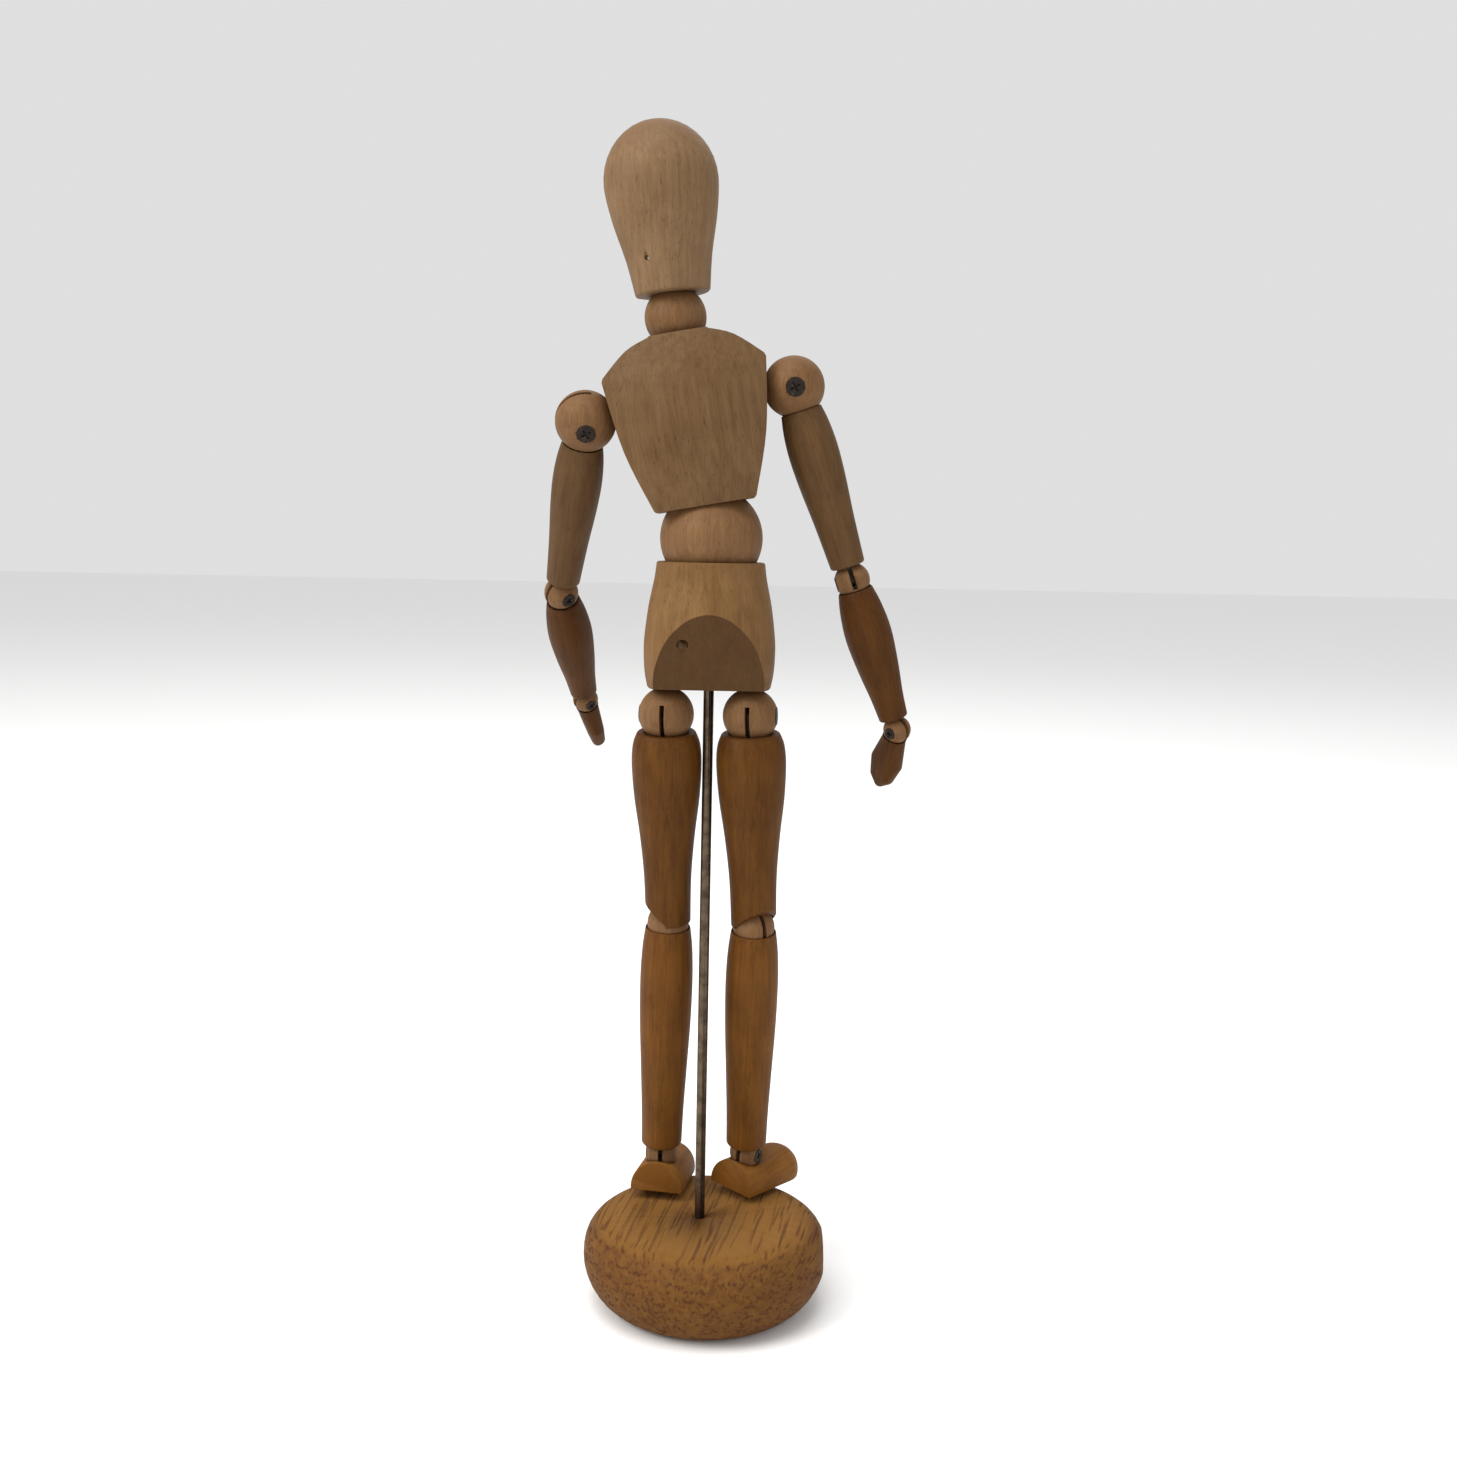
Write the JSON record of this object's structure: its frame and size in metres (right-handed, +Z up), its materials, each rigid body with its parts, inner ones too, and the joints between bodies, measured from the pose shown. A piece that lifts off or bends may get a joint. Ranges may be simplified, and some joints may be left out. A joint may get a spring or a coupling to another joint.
{
  "type": "artist mannequin",
  "caption": "Jointed wooden lay figure with egg-shaped head, ball joints and slotted limbs, standing upright on a steel rod in a turned wooden base.",
  "frame": {"origin": "where the steel rod's axis meets the flat underside of the base", "axes": "+Z up along the rod, +Y the way the figure faces, +X to its own left when seen from behind as stored; node names left and right are as seen from behind"},
  "size_m": [0.1118, 0.1082, 0.347],
  "materials": {
    "base_oak": "satin",
    "rod_steel": "satin",
    "pale_wood": "satin",
    "pelvis_wood": "satin",
    "plug_wood": "matte",
    "ball_wood": "satin",
    "limb_wood": "satin",
    "dark_screws": "satin",
    "tongue_steel": "satin",
    "bright_steel": "satin"
  },
  "bodies": {
    "stand": {"base": "base_oak", "rod": "rod_steel"},
    "pelvis": {"pelvis": "pelvis_wood", "pelvis_screw": "plug_wood", "left_hip_stud": "bright_steel", "right_hip_stud": "bright_steel"},
    "waist_spring": {"waist_spring": "bright_steel"},
    "waist_ball": {"waist_ball": "ball_wood"},
    "chest": {"chest": "pale_wood", "left_shoulder_stud": "bright_steel", "right_shoulder_stud": "bright_steel"},
    "neck_spring": {"neck_spring": "bright_steel"},
    "neck_ball": {"neck_ball": "ball_wood"},
    "head": {"head": "pale_wood", "head_pin": "bright_steel"},
    "left_shoulder_ball": {"left_shoulder_ball": "ball_wood", "left_shoulder_screw": "dark_screws"},
    "left_upper_arm": {"left_upper_arm": "limb_wood", "left_arm_link": "tongue_steel"},
    "left_elbow_ball": {"left_elbow_ball": "ball_wood", "left_elbow_screw": "dark_screws"},
    "left_forearm": {"left_forearm": "limb_wood", "left_wrist_tongue": "tongue_steel"},
    "left_wrist_ball": {"left_wrist_ball": "ball_wood", "left_wrist_screw": "dark_screws"},
    "left_hand": {"left_hand": "limb_wood"},
    "right_shoulder_ball": {"right_shoulder_ball": "ball_wood", "right_shoulder_screw": "dark_screws"},
    "right_upper_arm": {"right_upper_arm": "limb_wood", "right_arm_link": "tongue_steel"},
    "right_elbow_ball": {"right_elbow_ball": "ball_wood", "right_elbow_screw": "dark_screws"},
    "right_forearm": {"right_forearm": "limb_wood", "right_wrist_tongue": "tongue_steel"},
    "right_wrist_ball": {"right_wrist_ball": "ball_wood", "right_wrist_screw": "dark_screws"},
    "right_hand": {"right_hand": "limb_wood"},
    "left_hip_ball": {"left_hip_ball": "ball_wood", "left_hip_screw": "dark_screws"},
    "left_thigh": {"left_thigh": "limb_wood", "left_leg_link": "tongue_steel"},
    "left_knee_ball": {"left_knee_ball": "ball_wood", "left_knee_screw": "dark_screws"},
    "left_shin": {"left_shin": "limb_wood", "left_ankle_tongue": "tongue_steel"},
    "left_ankle_ball": {"left_ankle_ball": "ball_wood", "left_ankle_screw": "dark_screws"},
    "left_foot": {"left_foot": "limb_wood"},
    "right_hip_ball": {"right_hip_ball": "ball_wood", "right_hip_screw": "dark_screws"},
    "right_thigh": {"right_thigh": "limb_wood", "right_leg_link": "tongue_steel"},
    "right_knee_ball": {"right_knee_ball": "ball_wood", "right_knee_screw": "dark_screws"},
    "right_shin": {"right_shin": "limb_wood", "right_ankle_tongue": "tongue_steel"},
    "right_ankle_ball": {"right_ankle_ball": "ball_wood", "right_ankle_screw": "dark_screws"},
    "right_foot": {"right_foot": "limb_wood"}
  },
  "joints": [
    {"name": "figure_turn", "type": "hinge", "parent": "stand", "child": "pelvis", "pos_m": [0, 0, 0.1948], "axis": [0, 0, 1], "continuous": true},
    {"name": "waist_twist", "type": "hinge", "parent": "pelvis", "child": "waist_spring", "pos_m": [0, 0, 0.2312], "axis": [0, 0, 1], "range_deg": [-35, 35]},
    {"name": "waist_side_bend", "type": "hinge", "parent": "waist_spring", "child": "waist_ball", "pos_m": [0, 0, 0.2312], "axis": [0, 1, 0], "range_deg": [-4, 14], "deforming": ["waist_spring"]},
    {"name": "waist_forward_bend", "type": "hinge", "parent": "waist_ball", "child": "chest", "pos_m": [0, 0, 0.2312], "axis": [0.9839, 0, 0.1788], "range_deg": [-12, 12]},
    {"name": "neck_turn", "type": "hinge", "parent": "chest", "child": "neck_spring", "pos_m": [-0.01125, 0, 0.29309], "axis": [-0.1788, 0, 0.9839], "range_deg": [-60, 60]},
    {"name": "neck_side_tilt", "type": "hinge", "parent": "neck_spring", "child": "neck_ball", "pos_m": [-0.01125, 0, 0.29309], "axis": [-0.8521, 0.5, -0.1548], "range_deg": [-10, 8], "deforming": ["neck_spring"]},
    {"name": "head_nod", "type": "hinge", "parent": "neck_ball", "child": "head", "pos_m": [-0.01125, 0, 0.29309], "axis": [0.4967, 0.8657, 0.0619], "range_deg": [-10, 8]},
    {"name": "left_shoulder_swing", "type": "hinge", "parent": "chest", "child": "left_shoulder_ball", "pos_m": [-0.0365, 0, 0.2637], "axis": [0.9839, 0, 0.1788], "range_deg": [-60, 100]},
    {"name": "left_shoulder_lift", "type": "hinge", "parent": "left_shoulder_ball", "child": "left_upper_arm", "pos_m": [-0.0365, 0, 0.2637], "axis": [-0.0894, 0.866, 0.4919], "range_deg": [-14, 60]},
    {"name": "left_elbow_bend", "type": "hinge", "parent": "left_upper_arm", "child": "left_elbow_ball", "pos_m": [-0.04609, 0.0275, 0.21354], "axis": [0.5685, -0.6707, -0.4764], "range_deg": [-70, 34]},
    {"name": "left_forearm_turn", "type": "hinge", "parent": "left_elbow_ball", "child": "left_forearm", "pos_m": [-0.04609, 0.0275, 0.21354], "axis": [-0.106, -0.634, 0.766], "range_deg": [-90, 90]},
    {"name": "left_wrist_bend", "type": "hinge", "parent": "left_forearm", "child": "left_wrist_ball", "pos_m": [-0.04111, 0.0573, 0.17754], "axis": [0.5685, -0.6707, -0.4764], "range_deg": [-40, 35]},
    {"name": "left_hand_turn", "type": "hinge", "parent": "left_wrist_ball", "child": "left_hand", "pos_m": [-0.04111, 0.0573, 0.17754], "axis": [-0.1486, -0.6533, 0.7424], "range_deg": [-90, 90]},
    {"name": "right_shoulder_swing", "type": "hinge", "parent": "chest", "child": "right_shoulder_ball", "pos_m": [0.02273, 0, 0.27446], "axis": [0.9839, 0, 0.1788], "range_deg": [-45, 120]},
    {"name": "right_shoulder_lift", "type": "hinge", "parent": "right_shoulder_ball", "child": "right_upper_arm", "pos_m": [0.02273, 0, 0.27446], "axis": [-0.0156, 0.9962, 0.0858], "range_deg": [-70, 5]},
    {"name": "right_elbow_bend", "type": "hinge", "parent": "right_upper_arm", "child": "right_elbow_ball", "pos_m": [0.04129, 0.005, 0.21974], "axis": [0.9473, -0.0127, 0.3201], "range_deg": [-54, 52]},
    {"name": "right_forearm_turn", "type": "hinge", "parent": "right_elbow_ball", "child": "right_forearm", "pos_m": [0.04129, 0.005, 0.21974], "axis": [-0.3196, -0.1036, 0.9419], "range_deg": [-90, 90]},
    {"name": "right_wrist_bend", "type": "hinge", "parent": "right_forearm", "child": "right_wrist_ball", "pos_m": [0.05631, 0.00987, 0.17547], "axis": [0.6549, 0.6942, 0.2986], "range_deg": [-76, 2]},
    {"name": "right_hand_turn", "type": "hinge", "parent": "right_wrist_ball", "child": "right_hand", "pos_m": [0.05631, 0.00987, 0.17547], "axis": [0.1698, -0.5201, 0.837], "range_deg": [-90, 90]},
    {"name": "left_hip_turn", "type": "hinge", "parent": "pelvis", "child": "left_hip_ball", "pos_m": [-0.0123, 0, 0.1799], "axis": [0, 0, 1], "range_deg": [-2, 32]},
    {"name": "left_thigh_swing", "type": "hinge", "parent": "left_hip_ball", "child": "left_thigh", "pos_m": [-0.0123, 0, 0.1799], "axis": [0.9903, -0.1392, 0], "range_deg": [0, 60]},
    {"name": "left_knee_bend", "type": "hinge", "parent": "left_thigh", "child": "left_knee_ball", "pos_m": [-0.01115, 0.00818, 0.11543], "axis": [0.0011, -0.9921, -0.1258], "range_deg": [-45, 0]},
    {"name": "left_shin_turn", "type": "hinge", "parent": "left_knee_ball", "child": "left_shin", "pos_m": [-0.01115, 0.00818, 0.11543], "axis": [0.019, -0.1258, 0.9919], "range_deg": [-25, 25]},
    {"name": "left_ankle_bend", "type": "hinge", "parent": "left_shin", "child": "left_ankle_ball", "pos_m": [-0.0126, 0.0178, 0.03955], "axis": [0.9992, -0.0311, -0.0231], "range_deg": [-2, 25]},
    {"name": "left_foot_turn", "type": "hinge", "parent": "left_ankle_ball", "child": "left_foot", "pos_m": [-0.0126, 0.0178, 0.03955], "axis": [0.0251, 0.0657, 0.9975], "range_deg": [-10, 45]},
    {"name": "right_hip_turn", "type": "hinge", "parent": "pelvis", "child": "right_hip_ball", "pos_m": [0.0123, 0, 0.1799], "axis": [-0.0244, 0, 0.9997], "range_deg": [-32, 2]},
    {"name": "right_thigh_swing", "type": "hinge", "parent": "right_hip_ball", "child": "right_thigh", "pos_m": [0.0123, 0, 0.1799], "axis": [0.99, -0.1392, 0.0242], "range_deg": [0, 60]},
    {"name": "right_knee_bend", "type": "hinge", "parent": "right_thigh", "child": "right_knee_ball", "pos_m": [0.0147, 0.00583, 0.11521], "axis": [0.846, 0.5273, 0.079], "range_deg": [-45, 0]},
    {"name": "right_shin_turn", "type": "hinge", "parent": "right_knee_ball", "child": "right_shin", "pos_m": [0.0147, 0.00583, 0.11521], "axis": [0.0096, -0.163, 0.9866], "range_deg": [-25, 25]},
    {"name": "right_ankle_bend", "type": "hinge", "parent": "right_shin", "child": "right_ankle_ball", "pos_m": [0.01397, 0.01831, 0.03973], "axis": [0.8444, -0.5271, -0.0953], "range_deg": [-2, 25]},
    {"name": "right_foot_turn", "type": "hinge", "parent": "right_ankle_ball", "child": "right_foot", "pos_m": [0.01397, 0.01831, 0.03973], "axis": [0.0951, -0.0276, 0.9951], "range_deg": [-30, 25]}
  ]
}
